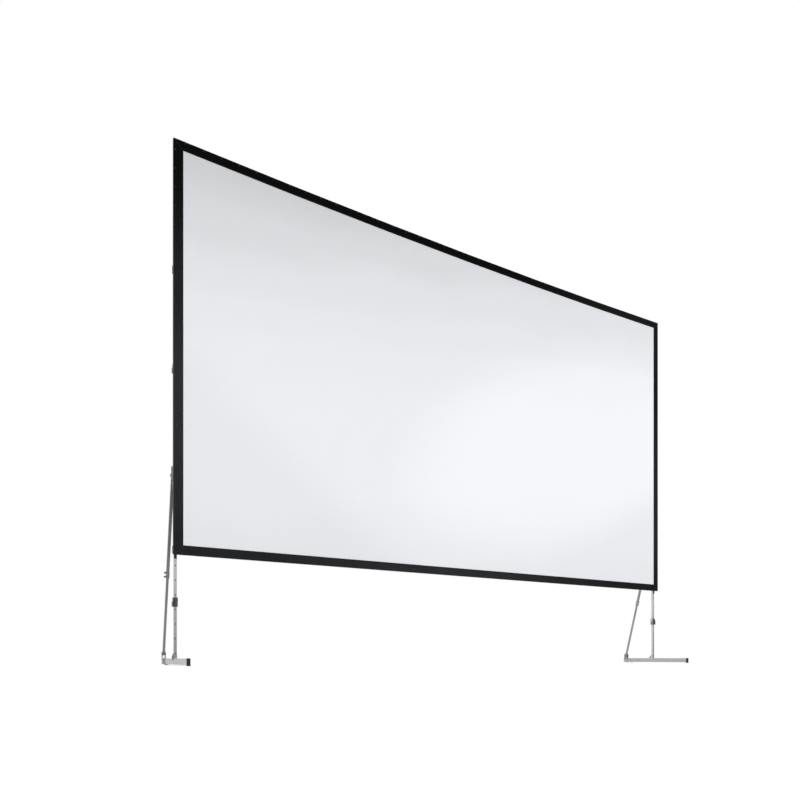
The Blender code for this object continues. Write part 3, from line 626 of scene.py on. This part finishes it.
@dataclass(frozen=True)
class ScreenClothFinish:
    """The matt white cloth: painted light and shade in broad soft tones on its front, a plain back and a
    fine weave.
    """

    name: str = "cloth_white_matt"
    roughness: float = 0.85
    specular: float = 0.12
    tint: Colour = (0.980, 0.990, 1.018)
    palest: float = 0.96
    tilt: float = 0.16
    waves: Clouds = Clouds(0.55, 2.0, (1.0, 1.0, 2.6))
    wave_height: float = 0.55
    # Painted light and shade on the front: tones by height, a bright oval and a darker corner.
    tones: tuple[Point, ...] = (
        (0.8, 0.805), (1.5, 0.829), (2.3, 0.850), (3.3, 0.847), (3.9, 0.826),
        (4.3, 0.798), (4.75, 0.765), (5.25, 0.698), (5.9, 0.600))
    highlight_centre: Point = (1.90, 3.18)
    highlight_size: Point = (2.75, 1.38)
    highlight_rise: float = 0.30
    highlight_falloff: Ramp = Ramp(0.4, 1.5, 0.070, 0.0)
    corner_slope: float = 1.3
    corner_base: float = 1.155
    corner_broad: Ramp = Ramp(-1.5, -0.3, -0.052, 0.0)
    corner_close: Ramp = Ramp(-3.7, -2.1, -0.026, 0.0)
    back: float = 0.80
    back_clouds: Clouds = Clouds(0.8, 3.0)
    back_share: Ramp = Ramp(0.2, 0.8, 0.98, 1.02)
    weave_scale: float = 700.0
    weave_depth: float = 0.0001
    weave_strength: float = 0.08

    def height_tone(self, graph: NodeGraph, x: Socket, z: Socket) -> Socket:
        """Painted light and shade over the cloth's height, along wavy lines that rise to the right.

        Args:
            graph: The material's node graph.
            x: The distance across.
            z: The height.

        Returns:
            The tone.
        """
        waves = graph.times(graph.minus(graph.noise(self.waves), NOISE_MIDDLE), self.wave_height)
        height = graph.plus(graph.minus(z, graph.times(x, self.tilt)), waves)
        low = self.tones[0][0]
        span = self.tones[-1][0] - low
        ramp = graph.node("ShaderNodeValToRGB")
        graph.feed(ramp.inputs[0], graph.reckon("DIVIDE", graph.minus(height, low), span))
        ramp.color_ramp.interpolation = "EASE"
        points = ramp.color_ramp.elements
        while len(points) < len(self.tones):
            points.new(0.5)
        for point, (place, tone) in zip(points, self.tones):
            point.position = (place - low) / span
            point.color = (tone, tone, tone, 1.0)
        return ramp.outputs[0]

    def painted_highlight(self, graph: NodeGraph, x: Socket, z: Socket) -> Socket:
        """A painted highlight: a soft bright oval right of the middle, which leans up to the right.

        Args:
            graph: The material's node graph.
            x: The distance across.
            z: The height.

        Returns:
            What it adds to the tone.
        """
        right = graph.minus(x, self.highlight_centre[0])
        up = graph.minus(graph.minus(z, graph.times(right, self.highlight_rise)), self.highlight_centre[1])
        across = graph.reckon("DIVIDE", right, self.highlight_size[0])
        upward = graph.reckon("DIVIDE", up, self.highlight_size[1])
        away = graph.plus(graph.times(across, across), graph.times(upward, upward))
        return graph.ease(away, self.highlight_falloff)

    def corner_painted_shade(self, graph: NodeGraph, x: Socket, z: Socket) -> Socket:
        """Painted shade along the left edge and in the lower left corner.

        Args:
            graph: The material's node graph.
            x: The distance across.
            z: The height.

        Returns:
            What it adds to the tone, below zero.
        """
        place = graph.plus(x, graph.times(graph.minus(z, self.corner_base), self.corner_slope))
        return graph.plus(graph.ease(place, self.corner_broad), graph.ease(place, self.corner_close))

    def both_sides(self, graph: NodeGraph, front: Socket) -> Socket:
        """Show the painted light and shade on the front alone, and an almost even tone on the back.

        Args:
            graph: The material's node graph.
            front: The front's tone.

        Returns:
            The tone of whichever side the surface is on.
        """
        back = graph.times(graph.ease(graph.noise(self.back_clouds), self.back_share), self.back)
        behind = graph.turned(TURNED_TO_BACK)
        return graph.plus(graph.times(front, graph.minus(1.0, behind)), graph.times(back, behind))

    def material(self) -> bpy.types.Material:
        """Build the material.

        Returns:
            The material.
        """
        graph = NodeGraph(self.name)
        x, _, z = graph.axes()
        # The front's tone is painted light and shade: tones by height, a painted highlight and corner shade.
        parts = (self.height_tone(graph, x, z), self.painted_highlight(graph, x, z), self.corner_painted_shade(graph, x, z))
        tone = self.both_sides(graph, graph.plus(*parts))
        combine = graph.node("ShaderNodeCombineColor")
        for target, share in zip(combine.inputs, self.tint):
            graph.feed(target, graph.reckon("MINIMUM", graph.times(tone, share), self.palest))
        graph.feed(graph.shader.inputs["Base Color"], combine.outputs[0])
        threads = graph.node("ShaderNodeTexChecker")
        threads.inputs["Scale"].default_value = self.weave_scale
        graph.feed(threads.inputs["Vector"], graph.place())
        graph.bump(threads.outputs["Fac"], self.weave_depth, self.weave_strength)
        graph.set(roughness=self.roughness, specular_ior_level=self.specular)
        return graph.material


@dataclass(frozen=True)
class BorderFinish:
    """Black webbing with a twill, greyer lower down, and a seam across each corner."""

    half_width: float
    bottom: float
    top: float
    width: float
    name: str = "border_black_webbing"
    roughness: float = 0.85
    specular: float = 0.03
    colour: Colour = (0.0026, 0.0027, 0.0030)
    greyer: Colour = (0.0270, 0.0275, 0.0295)
    seam: Colour = (0.040, 0.041, 0.043)
    seam_reach: float = 0.0018
    seam_edge: float = 0.0012
    greyer_below: float = 2.9
    floor_reach: float = 1.0
    floor_share: float = 0.62
    across_share: Point = (0.95, 0.60)
    right_from: float = 0.3
    right_share: float = 0.30
    low_reach: float = 0.3
    low_share: float = 0.42
    low_middle: Ramp = Ramp(0.3, 3.2, 1.0, 0.0)
    greyer_clouds: Clouds = Clouds(1.7, 4.0)
    greyer_share: Ramp = Ramp(0.25, 0.75, 0.8, 1.15)
    twill_scale: float = 260.0
    twill_tone: Ramp = Ramp(0.0, 1.0, 0.8, 1.15)
    twill_depth: float = 0.0002
    twill_strength: float = 0.3

    def greyness(self, graph: NodeGraph, x: Socket, z: Socket) -> Socket:
        """How grey the webbing is drawn: least along the top, most at half height and low down.

        Args:
            graph: The material's node graph.
            x: The distance across.
            z: The height.

        Returns:
            The share of the greyer colour.
        """
        below_top = graph.ease(z, Ramp(self.greyer_below, self.top - self.width, 1.0, 0.0))
        above_floor = graph.ease(z, Ramp(self.bottom, self.bottom + self.floor_reach, self.floor_share, 1.0))
        across = graph.ease(x, Ramp(-self.half_width, self.half_width, *self.across_share))
        right = graph.ease(x, Ramp(self.right_from, self.half_width, 0.0, self.right_share))
        low = graph.ease(z, Ramp(self.bottom, self.bottom + self.low_reach, self.low_share, 0.0))
        low = graph.times(low, graph.ease(graph.unsigned(x), self.low_middle))
        share = graph.plus(graph.most(graph.times(below_top, above_floor, across), right), low)
        return graph.times(share, graph.ease(graph.noise(self.greyer_clouds), self.greyer_share))

    def seams(self, graph: NodeGraph, x: Socket, z: Socket) -> Socket:
        """The sewn mitre at each corner.

        Args:
            graph: The material's node graph.
            x: The distance across.
            z: The height.

        Returns:
            One on a seam and zero elsewhere.
        """
        side = graph.minus(self.half_width, graph.unsigned(x))
        found = []
        for edge, sign in ((self.bottom, 1.0), (self.top, -1.0)):
            inward = graph.times(graph.minus(z, edge), sign)
            line = graph.below(graph.apart(side, inward), self.seam_reach, self.seam_edge)
            found.append(graph.times(line, graph.below(inward, self.width + SOFT_EDGE)))
        return graph.most(*found)

    def material(self) -> bpy.types.Material:
        """Build the material.

        Returns:
            The material.
        """
        graph = NodeGraph(self.name)
        x, _, z = graph.axes()
        colour = graph.mix(self.greyness(graph, x, z), self.colour, self.greyer)
        colour = graph.mix(self.seams(graph, x, z), colour, self.seam)
        twill = graph.node("ShaderNodeTexWave")
        twill.bands_direction = "DIAGONAL"
        twill.inputs["Scale"].default_value = self.twill_scale
        graph.feed(twill.inputs["Vector"], graph.place())
        colour = graph.shade(colour, graph.ease(twill.outputs["Fac"], self.twill_tone))
        graph.feed(graph.shader.inputs["Base Color"], colour)
        graph.bump(twill.outputs["Fac"], self.twill_depth, self.twill_strength)
        graph.set(roughness=self.roughness, specular_ior_level=self.specular)
        return graph.material


def bridge(bm: bmesh.types.BMesh, near: Ring, far: Ring) -> None:
    """Close the space between two rings of points.

    Args:
        bm: The mesh to add to.
        near: The first ring.
        far: The second ring, with as many points.
    """
    for i in range(len(near)):
        j = (i + 1) % len(near)
        bm.faces.new((near[i], near[j], far[j], far[i]))


@dataclass
class TensionedPicture:
    """The cloth stretched on the frame, its sewn border, its stitching and its press studs."""

    image_width: float = 7.32
    image_height: float = 4.12
    border: float = 0.100
    bottom: float = 1.155
    sag: float = 0.053
    rail_pitch: float = 1.21
    joints_each_side: int = 2
    face_y: float = -0.0373
    overlap: float = 0.025
    hollow: float = 0.003
    cloth_thick: float = 0.0008
    cloth_columns: int = 120
    cloth_rows: int = 68
    border_gap: float = 0.0003
    border_thick: float = 0.0012
    border_columns: int = 60
    hem_thick: float = 0.0005
    outer_hem: float = 0.0380
    outer_hem_rise: float = 0.0006
    inner_hem: float = 0.0900
    inner_hem_rise: float = 0.0005
    stud_pitch: float = 0.194
    stud_inset: float = 0.020
    stud_radius: float = 0.0075
    stud_sides: int = 14
    stud_profile: tuple[Point, ...] = (
        (1.0, 0.0006), (1.0, -0.0008), (0.8, -0.0014), (0.62, -0.0011), (0.5, -0.0020), (0.2, -0.0022))
    stitch_rows: Point = (0.0350, 0.0935)
    stitch_pitch: float = 0.014
    stitch_half: Point = (0.0045, 0.0005)
    stitch_base: float = 0.0002
    stitch_height: float = 0.0005
    stitch_ridge: float = 0.7
    stud_finish: CoatedFinish = CoatedFinish(
        "stud_black_nickel", colour=(0.010, 0.010, 0.011), worn=(0.030, 0.030, 0.031),
        roughness=0.45, specular=0.2)
    thread_finish: CoatedFinish = CoatedFinish(
        "thread_black", colour=(0.020, 0.020, 0.022), worn=(0.030, 0.030, 0.032),
        roughness=0.75, specular=0.1)

    @property
    def width(self) -> float:
        """The frame's outer width."""
        return self.image_width + 2 * self.border

    @property
    def top(self) -> float:
        """The height of the frame's top corners."""
        return self.bottom + self.image_height + 2 * self.border

    @property
    def border_face(self) -> float:
        """The Y of the webbing's front between its hems."""
        return self.face_y - self.border_gap - self.border_thick

    def sagged(self, x: float) -> float:
        """The height of the curve that the top edge's joints lie on."""
        return self.top - self.sag * 4 * (x / self.width + 0.5) * (0.5 - x / self.width)

    def top_edge(self, x: float) -> float:
        """The height of the frame's top edge, which is straight between its fold joints.

        Args:
            x: The distance from the frame's middle.

        Returns:
            The height in metres.
        """
        reach = self.width / 2
        count = self.joints_each_side
        joints = [-reach, *(i * self.rail_pitch for i in range(-count, count + 1)), reach]
        for start, end in zip(joints, joints[1:]):
            if x <= end:
                share = (x - start) / (end - start)
                return self.sagged(start) + share * (self.sagged(end) - self.sagged(start))
        return self.top

    def outline(self, inset: float) -> list[Point]:
        """The frame's outline moved inward, as the same number of points for every inset.

        Args:
            inset: The distance from the outer edge.

        Returns:
            The points, clockwise from the top left.
        """
        reach = self.width / 2 - inset
        columns = self.border_columns
        rows = columns // 2
        xs = [-reach + 2 * reach * i / columns for i in range(columns + 1)]
        top = [(x, self.top_edge(x) - inset) for x in xs]
        low = [(x, self.bottom + inset) for x in reversed(xs)]
        right = [(reach, top[-1][1] + (low[0][1] - top[-1][1]) * i / rows) for i in range(1, rows)]
        left = [(-reach, low[-1][1] + (top[0][1] - low[-1][1]) * i / rows) for i in range(1, rows)]
        return top + right + low + left

    def along(self, inset: float, pitch: float) -> list[Place]:
        """Evenly spaced places on a line parallel to the outer edge.

        Args:
            inset: The line's distance from the outer edge.
            pitch: The spacing wanted.

        Returns:
            Each place's X and Z and the direction of the line there, in radians.
        """
        reach = self.width / 2 - inset
        low = self.bottom + inset
        high = self.top - inset
        across = max(1, round(2 * reach / pitch))
        up = max(1, round((high - low) / pitch))
        places = []
        for i in range(across):
            x = -reach + 2 * reach * (i + 0.5) / across
            places.append((x, self.top_edge(x) - inset, 0.0))
            places.append((x, low, 0.0))
        for i in range(up):
            z = low + (high - low) * (i + 0.5) / up
            places.append((-reach, z, math.pi / 2))
            places.append((reach, z, math.pi / 2))
        return places

    def make(
        self, name: str, bm: bmesh.types.BMesh, material: bpy.types.Material
    ) -> bpy.types.Object:
        """Turn a mesh into a piece that rides on the frame.

        Args:
            name: The piece's name.
            bm: The finished mesh, in the model's frame.
            material: Its material.

        Returns:
            The new object.
        """
        bmesh.ops.recalc_face_normals(bm, faces=bm.faces)
        mesh = bpy.data.meshes.new(name)
        bm.to_mesh(mesh)
        bm.free()
        piece = bpy.data.objects.new(name, mesh)
        bpy.context.scene.collection.objects.link(piece)
        mesh.materials.append(material)
        mesh.shade_smooth()
        mesh.set_sharp_from_angle(angle=CLOTH_CREASE)
        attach(piece, FRAME_BODY)
        LOG.info("%s: %d faces", name, len(mesh.polygons))
        return piece

    def cloth_layer(self, bm: bmesh.types.BMesh, back: float) -> Ring:
        """Add one face of the cloth.

        Args:
            bm: The mesh to add to.
            back: Its distance behind the cloth's front.

        Returns:
            The points along its edge, in order.
        """
        inset = self.border - self.overlap
        reach = self.width / 2 - inset
        low = self.bottom + inset
        grid = []
        for r in range(self.cloth_rows + 1):
            v = r / self.cloth_rows
            line = []
            for c in range(self.cloth_columns + 1):
                u = c / self.cloth_columns
                x = -reach + 2 * reach * u
                z = low + (self.top_edge(x) - inset - low) * v
                hollow = self.hollow * math.sin(math.pi * u) * math.sin(math.pi * v)
                line.append(bm.verts.new((x, self.face_y + back + hollow, z)))
            grid.append(line)
        for lower, upper in zip(grid, grid[1:]):
            for c in range(self.cloth_columns):
                bm.faces.new((lower[c], lower[c + 1], upper[c + 1], upper[c]))
        right = [line[-1] for line in grid[:-1]]
        left = [line[0] for line in grid[:0:-1]]
        return grid[0][:-1] + right + grid[-1][:0:-1] + left

    def cloth(self) -> bpy.types.Object:
        """Stretch the picture cloth, which hollows slightly between its edges.

        Returns:
            The cloth.
        """
        bm = bmesh.new()
        front = self.cloth_layer(bm, 0.0)
        back = self.cloth_layer(bm, self.cloth_thick)
        bridge(bm, front, back)
        cloth = self.make("picture_cloth", bm, ScreenClothFinish().material())
        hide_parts("projection_cloth")
        return cloth

    def border_band(self) -> bpy.types.Object:
        """Sew the border: a flat band with a doubled hem at each edge.

        Returns:
            The border.
        """
        bm = bmesh.new()
        rear = self.face_y - self.border_gap
        flat = self.border_face
        outer = flat - self.hem_thick
        inner = flat - self.hem_thick / 2
        profile = (
            (0.0, rear), (0.0, flat),
            (self.outer_hem_rise, outer), (self.outer_hem, outer),
            (self.outer_hem + self.outer_hem_rise, flat), (self.inner_hem, flat),
            (self.inner_hem + self.inner_hem_rise, inner), (self.border - self.inner_hem_rise, inner),
            (self.border, flat), (self.border, rear))
        rings = []
        for inset, y in profile:
            rings.append([bm.verts.new((x, y, z)) for x, z in self.outline(inset)])
        for near, far in zip(rings, rings[1:] + rings[:1]):
            bridge(bm, near, far)
        finish = BorderFinish(self.width / 2, self.bottom, self.top, self.border)
        band = self.make("border_band", bm, finish.material())
        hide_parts("border_webbing")
        return band

    def studs(self) -> bpy.types.Object:
        """Set the press studs that hold the border to the frame.

        Returns:
            All the studs as one piece.
        """
        bm = bmesh.new()
        face = self.border_face - self.hem_thick
        turns = [2 * math.pi * k / self.stud_sides for k in range(self.stud_sides)]
        for x, z, _ in self.along(self.stud_inset, self.stud_pitch):
            rings = []
            for share, y in self.stud_profile:
                radius = self.stud_radius * share
                points = [(x + radius * math.cos(t), face + y, z + radius * math.sin(t)) for t in turns]
                rings.append([bm.verts.new(point) for point in points])
            for near, far in zip(rings, rings[1:]):
                bridge(bm, near, far)
            bm.faces.new(rings[-1])
            bm.faces.new(rings[0][::-1])
        return self.make("press_studs", bm, self.stud_finish.material())

    def stitching(self) -> bpy.types.Object:
        """Sew two rows of thread round the border.

        Returns:
            The thread as one piece.
        """
        bm = bmesh.new()
        face = self.border_face - self.stitch_base
        lift = Vector((0, -self.stitch_height, 0))
        for inset in self.stitch_rows:
            for x, z, turn in self.along(inset, self.stitch_pitch):
                along = Vector((math.cos(turn), 0, math.sin(turn))) * self.stitch_half[0]
                side = Vector((-math.sin(turn), 0, math.cos(turn))) * self.stitch_half[1]
                ridge = along * self.stitch_ridge
                middle = Vector((x, face, z))
                a = bm.verts.new(middle - along - side)
                b = bm.verts.new(middle + along - side)
                c = bm.verts.new(middle + along + side)
                d = bm.verts.new(middle - along + side)
                e = bm.verts.new(middle - ridge + lift)
                f = bm.verts.new(middle + ridge + lift)
                for loop in ((a, b, f, e), (c, d, e, f), (b, c, f), (d, a, e), (d, c, b, a)):
                    bm.faces.new(loop)
        return self.make("border_stitching", bm, self.thread_finish.material())

    def build(self, nodes: dict[str, bpy.types.Object]) -> None:
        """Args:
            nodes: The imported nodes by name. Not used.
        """
        cloth = self.cloth()
        extras = [self.border_band(), self.studs(), self.stitching()]


@dataclass
class Hardware:
    """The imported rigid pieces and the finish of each."""

    rail: MetalFinish = MetalFinish(
        "rail_black_anodised", colour=(0.0120, 0.0125, 0.0140), stain=(0.0200, 0.0205, 0.0220),
        roughness=0.42, metallic=0.0, grain=Grain.ALONG_Z, specular=0.25)
    leg: LegFinish = LegFinish(
        "leg_satin_aluminium", colour=(0.58, 0.585, 0.59), stain=(0.50, 0.505, 0.51),
        roughness=0.36, metallic=0.40, grain=Grain.ALONG_Z)
    foot: FootFinish = FootFinish(
        "foot_satin_aluminium", colour=(0.410, 0.403, 0.394), stain=(0.360, 0.353, 0.344),
        roughness=0.40, metallic=0.40, grain=Grain.ALONG_Y)
    brace: BraceFinish = BraceFinish(
        "brace_grey_aluminium", colour=(0.150, 0.150, 0.148), stain=(0.115, 0.115, 0.113),
        roughness=0.42, metallic=0.45, grain=Grain.ALONG_Z)
    brace_bracket: BoltedFinish = BoltedFinish(
        "brace_bracket_aluminium", colour=(0.34, 0.345, 0.35), stain=(0.28, 0.285, 0.29),
        roughness=0.40, metallic=0.40, grain=Grain.ALONG_Z, inward=(0.34, 0.345, 0.35))
    hinge_bracket: BoltedFinish = BoltedFinish(
        "hinge_bracket_steel", colour=(0.085, 0.089, 0.093), stain=(0.070, 0.073, 0.076),
        roughness=0.40, metallic=0.40, grain=Grain.ALONG_Y, middle_x=3.729, bolt_place=(0.065, 0.088))
    latch: CoatedFinish = CoatedFinish(
        "latch_dark_steel", colour=(0.026, 0.028, 0.030), worn=(0.080, 0.085, 0.088), roughness=0.45)
    casting: CoatedFinish = CoatedFinish(
        "casting_black_powder", colour=(0.014, 0.015, 0.017), worn=(0.030, 0.031, 0.033), roughness=0.50)
    plastic: CoatedFinish = CoatedFinish(
        "moulded_black_plastic", colour=(0.009, 0.009, 0.010), worn=(0.026, 0.026, 0.028), roughness=0.55,
        pebble_scale=1400.0, pebble_depth=0.0002)

    def finish_of(self, name: str) -> MetalFinish | CoatedFinish:
        """Choose the finish of a node by its name.

        Args:
            name: The node's name.

        Returns:
            The finish.
        """
        rules = (
            ("_rail_", self.rail), ("_leg_", self.leg), ("_foot_tube", self.foot),
            ("_brace_tube", self.brace), ("_brace_rod", self.brace), ("_brace_bracket", self.brace_bracket),
            ("_hinge_bracket", self.hinge_bracket), ("_latch_lever", self.latch),
            ("_knob", self.plastic), ("_foot_cap", self.plastic))
        return next((finish for part, finish in rules if part in name), self.casting)

    def dress(self, nodes: dict[str, bpy.types.Object]) -> None:
        """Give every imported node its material.

        Args:
            nodes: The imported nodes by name.
        """
        made: dict[str, bpy.types.Material] = {}
        for name, node in nodes.items():
            finish = self.finish_of(name)
            if finish.name not in made:
                made[finish.name] = finish.material()
            node.data.materials.clear()
            node.data.materials.append(made[finish.name])
            node.data.shade_smooth()
            node.data.set_sharp_from_angle(angle=METAL_CREASE)
            LOG.info("%s: %s", name, finish.name)


@dataclass
class Studio:
    """A pale floor, a soft white surround and the camera of the photograph."""

    lens: float = 29.468
    sensor: float = 36.0
    shift_up: float = 0.32187
    yaw: float = math.radians(30.115)
    stand: Place = (-5.1332, -7.0865, 0.0838)
    sight: float = 200.0
    floor_reach: float = 60.0
    floor_parts: int = 4
    floor_tone: float = 0.95
    # Each slope is a direction, 0 for X to 2 for Z, and how the light changes along it.
    slopes: tuple[tuple[int, Ramp], ...] = (
        (1, Ramp(-0.7, 0.7, 0.76, 0.80)), (2, Ramp(0.1, 0.9, 0.0, 0.55)), (0, Ramp(-1.0, 1.0, 0.30, -0.30)))

    def floor(self) -> None:
        """Lay the floor."""
        bm = bmesh.new()
        bmesh.ops.create_grid(
            bm, x_segments=self.floor_parts, y_segments=self.floor_parts, size=self.floor_reach)
        mesh = bpy.data.meshes.new("floor")
        bm.to_mesh(mesh)
        bm.free()
        floor = bpy.data.objects.new("floor", mesh)
        bpy.context.scene.collection.objects.link(floor)
        graph = NodeGraph("floor_white")
        tone = self.floor_tone
        graph.set(base_color=(tone, tone, tone, 1.0), roughness=1.0, specular_ior_level=0.0)
        mesh.materials.append(graph.material)

    def surround(self) -> None:
        """Light the scene from a soft surround that the camera, gloss and glass see as white."""
        world = bpy.data.worlds.new("studio")
        bpy.context.scene.world = world
        world.use_nodes = True
        world.node_tree.nodes.clear()
        graph = NodeTree(world.node_tree)
        direction = graph.split(graph.node("ShaderNodeTexCoord").outputs["Generated"])
        strength = graph.plus(*(graph.ease(direction[axis], slope) for axis, slope in self.slopes))
        ray = graph.node("ShaderNodeLightPath")
        kinds = ("Is Camera Ray", "Is Glossy Ray", "Is Transmission Ray")
        mix = graph.node("ShaderNodeMixShader")
        graph.feed(mix.inputs["Fac"], graph.most(*(ray.outputs[kind] for kind in kinds)))
        for target, amount in ((mix.inputs[1], strength), (mix.inputs[2], 1.0)):
            light = graph.node("ShaderNodeBackground")
            light.inputs["Color"].default_value = WHITE
            graph.feed(light.inputs["Strength"], amount)
            graph.feed(target, light.outputs[0])
        output = graph.node("ShaderNodeOutputWorld")
        graph.feed(output.inputs["Surface"], mix.outputs[0])

    def photograph(self) -> None:
        """Place the camera where the photograph was taken from."""
        data = bpy.data.cameras.new("camera")
        data.lens = self.lens
        data.sensor_width = self.sensor
        data.shift_y = self.shift_up
        data.clip_end = self.sight
        camera = bpy.data.objects.new("camera", data)
        bpy.context.scene.collection.objects.link(camera)
        camera.location = self.stand
        camera.rotation_euler = (math.pi / 2, 0.0, -self.yaw)
        bpy.context.scene.camera = camera

    def build(self) -> None:
        """Set the floor, the light and the camera."""
        bpy.context.scene.view_settings.view_transform = "Standard"
        self.floor()
        self.surround()
        self.photograph()
        LOG.info("studio set")


def clear_scene() -> None:
    """Remove every object that Blender starts with."""
    for old in list(bpy.data.objects):
        bpy.data.objects.remove(old, do_unlink=True)


def main() -> None:
    """Build the dressed screen and its studio."""
    logging.basicConfig(level=logging.INFO)
    clear_scene()
    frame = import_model()
    Hardware().dress(frame["nodes"])
    TensionedPicture().build(frame["nodes"])
    Studio().build()


if __name__ == "__main__":
    main()
